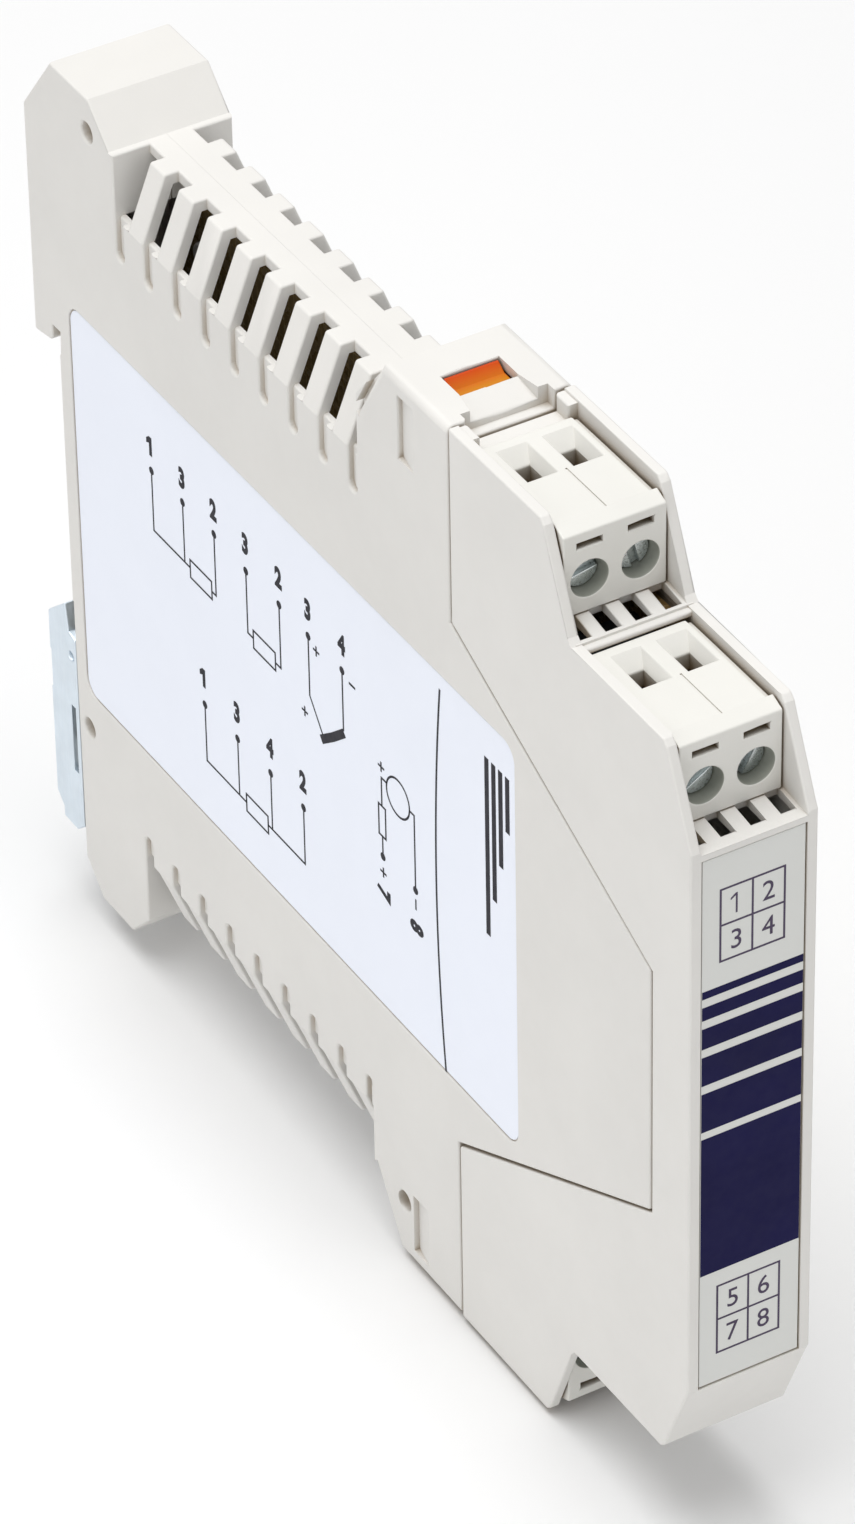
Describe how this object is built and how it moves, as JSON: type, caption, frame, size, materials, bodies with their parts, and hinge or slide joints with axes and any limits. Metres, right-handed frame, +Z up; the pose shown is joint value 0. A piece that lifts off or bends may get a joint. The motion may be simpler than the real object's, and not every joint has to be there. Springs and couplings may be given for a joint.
{
  "type": "rail-mounted temperature transmitter",
  "caption": "Slim upright electronics module for a 35 mm mounting rail, with vented two-part base, stepped front cover and pull-off screw terminals.",
  "frame": {"origin": "on the flat face that rests on the rail, half way between the rail's two edges and across the module", "axes": "+X across the module away from the side label, -Y towards the front with the terminals, +Z up along the rail face towards the fixed hook"},
  "size_m": [0.0126, 0.115, 0.099],
  "materials": {
    "light_shell": "light grey moulded polyamide, fine matt texture",
    "light_cover": "light grey moulded polyamide, fine matt texture",
    "terminal_plastic": "light grey moulded terminal plastic",
    "label_film": null,
    "foot_zinc": "zinc-plated steel with a bluish passivation",
    "spring_steel": "drawn spring wire",
    "latch_orange": "orange moulded plastic",
    "screw_zinc": "zinc-plated slotted steel screw",
    "cage_metal": "nickel-plated brass",
    "contact_metal": "tin-plated copper alloy",
    "header_black": "black moulded header plastic",
    "board_green": "green solder mask over glass-fibre laminate",
    "ferrite": "dark grey ferrite",
    "winding_tape": "yellow tape round a copper winding",
    "chip_black": "black moulded packages with tinned leads",
    "capacitor_can": "aluminium cans on a plastic base",
    "crystal_can": "nickel-plated can"
  },
  "bodies": {
    "housing": {"base_shell_left": "light_shell", "base_shell_right": "light_shell", "front_cover": "light_cover", "front_label": "label_film", "side_label": "label_film", "foot_spring": "spring_steel", "pin_header_top_rear": "header_black", "pin_header_top_front": "header_black", "pin_header_bottom_rear": "header_black", "header_pins_top_rear": "contact_metal", "header_pins_top_front": "contact_metal", "header_pins_bottom_rear": "contact_metal", "circuit_board": "board_green", "transformer_core": "ferrite", "transformer_winding": "winding_tape", "controller_chip": "chip_black", "signal_chips": "chip_black", "storage_capacitors": "capacitor_can", "power_inductor": "ferrite", "protection_diodes": "chip_black", "chip_resistors": "chip_black", "clock_crystal": "crystal_can"},
    "rail_foot": {"rail_foot": "foot_zinc"},
    "latch_top": {"latch_top": "latch_orange"},
    "latch_bottom": {"latch_bottom": "latch_orange"},
    "plug_top_rear": {"plug_body_top_rear": "terminal_plastic", "plug_contacts_top_rear": "contact_metal"},
    "terminal_screw_1": {"terminal_screw_1": "screw_zinc"},
    "clamp_cage_1": {"clamp_cage_1": "cage_metal"},
    "terminal_screw_2": {"terminal_screw_2": "screw_zinc"},
    "clamp_cage_2": {"clamp_cage_2": "cage_metal"},
    "plug_top_front": {"plug_body_top_front": "terminal_plastic", "plug_contacts_top_front": "contact_metal"},
    "terminal_screw_3": {"terminal_screw_3": "screw_zinc"},
    "clamp_cage_3": {"clamp_cage_3": "cage_metal"},
    "terminal_screw_4": {"terminal_screw_4": "screw_zinc"},
    "clamp_cage_4": {"clamp_cage_4": "cage_metal"},
    "plug_bottom_rear": {"plug_body_bottom_rear": "terminal_plastic", "plug_contacts_bottom_rear": "contact_metal"},
    "terminal_screw_7": {"terminal_screw_7": "screw_zinc"},
    "clamp_cage_7": {"clamp_cage_7": "cage_metal"},
    "terminal_screw_8": {"terminal_screw_8": "screw_zinc"},
    "clamp_cage_8": {"clamp_cage_8": "cage_metal"}
  },
  "joints": [
    {"name": "foot_slide", "type": "slide", "parent": "housing", "child": "rail_foot", "axis": [0, 0, -1], "range_m": [0, 0.0044], "stiffness_N_per_m": 1200, "springref_m": -0.003, "deforming": ["foot_spring"]},
    {"name": "latch_top_press", "type": "slide", "parent": "housing", "child": "latch_top", "axis": [0, 0, -1], "range_m": [0, 0.001], "stiffness_N_per_m": 900, "springref_m": -0.0004},
    {"name": "latch_bottom_press", "type": "slide", "parent": "housing", "child": "latch_bottom", "axis": [0, 0, 1], "range_m": [0, 0.001], "stiffness_N_per_m": 900, "springref_m": -0.0004},
    {"name": "plug_top_rear_pull", "type": "slide", "parent": "housing", "child": "plug_top_rear", "axis": [0, -1, 0], "range_m": [0, 0.014]},
    {"name": "screw_1_turn", "type": "hinge", "parent": "plug_top_rear", "child": "terminal_screw_1", "pos_m": [-0.0025, -0.0848, 0.0429], "axis": [0, 1, 0], "range_deg": [0, 1301]},
    {"name": "cage_1_close", "type": "slide", "parent": "plug_top_rear", "child": "clamp_cage_1", "axis": [0, -1, 0], "range_m": [0, 0.0018]},
    {"name": "screw_2_turn", "type": "hinge", "parent": "plug_top_rear", "child": "terminal_screw_2", "pos_m": [0.0025, -0.0848, 0.0429], "axis": [0, 1, 0], "range_deg": [0, 1301]},
    {"name": "cage_2_close", "type": "slide", "parent": "plug_top_rear", "child": "clamp_cage_2", "axis": [0, -1, 0], "range_m": [0, 0.0018]},
    {"name": "plug_top_front_pull", "type": "slide", "parent": "housing", "child": "plug_top_front", "axis": [0, -1, 0], "range_m": [0, 0.014]},
    {"name": "screw_3_turn", "type": "hinge", "parent": "plug_top_front", "child": "terminal_screw_3", "pos_m": [-0.0025, -0.1029, 0.033], "axis": [0, 1, 0], "range_deg": [0, 1301]},
    {"name": "cage_3_close", "type": "slide", "parent": "plug_top_front", "child": "clamp_cage_3", "axis": [0, -1, 0], "range_m": [0, 0.0018]},
    {"name": "screw_4_turn", "type": "hinge", "parent": "plug_top_front", "child": "terminal_screw_4", "pos_m": [0.0025, -0.1029, 0.033], "axis": [0, 1, 0], "range_deg": [0, 1301]},
    {"name": "cage_4_close", "type": "slide", "parent": "plug_top_front", "child": "clamp_cage_4", "axis": [0, -1, 0], "range_m": [0, 0.0018]},
    {"name": "plug_bottom_rear_pull", "type": "slide", "parent": "housing", "child": "plug_bottom_rear", "axis": [0, -1, 0], "range_m": [0, 0.014]},
    {"name": "screw_7_turn", "type": "hinge", "parent": "plug_bottom_rear", "child": "terminal_screw_7", "pos_m": [-0.0025, -0.0848, -0.0429], "axis": [0, 1, 0], "range_deg": [0, 1301]},
    {"name": "cage_7_close", "type": "slide", "parent": "plug_bottom_rear", "child": "clamp_cage_7", "axis": [0, -1, 0], "range_m": [0, 0.0018]},
    {"name": "screw_8_turn", "type": "hinge", "parent": "plug_bottom_rear", "child": "terminal_screw_8", "pos_m": [0.0025, -0.0848, -0.0429], "axis": [0, 1, 0], "range_deg": [0, 1301]},
    {"name": "cage_8_close", "type": "slide", "parent": "plug_bottom_rear", "child": "clamp_cage_8", "axis": [0, -1, 0], "range_m": [0, 0.0018]}
  ],
  "couplings": [
    {"joint": "screw_1_turn", "follows": "cage_1_close", "rad_per_m": 12566},
    {"joint": "screw_2_turn", "follows": "cage_2_close", "rad_per_m": 12566},
    {"joint": "screw_3_turn", "follows": "cage_3_close", "rad_per_m": 12566},
    {"joint": "screw_4_turn", "follows": "cage_4_close", "rad_per_m": 12566},
    {"joint": "screw_7_turn", "follows": "cage_7_close", "rad_per_m": 12566},
    {"joint": "screw_8_turn", "follows": "cage_8_close", "rad_per_m": 12566}
  ]
}
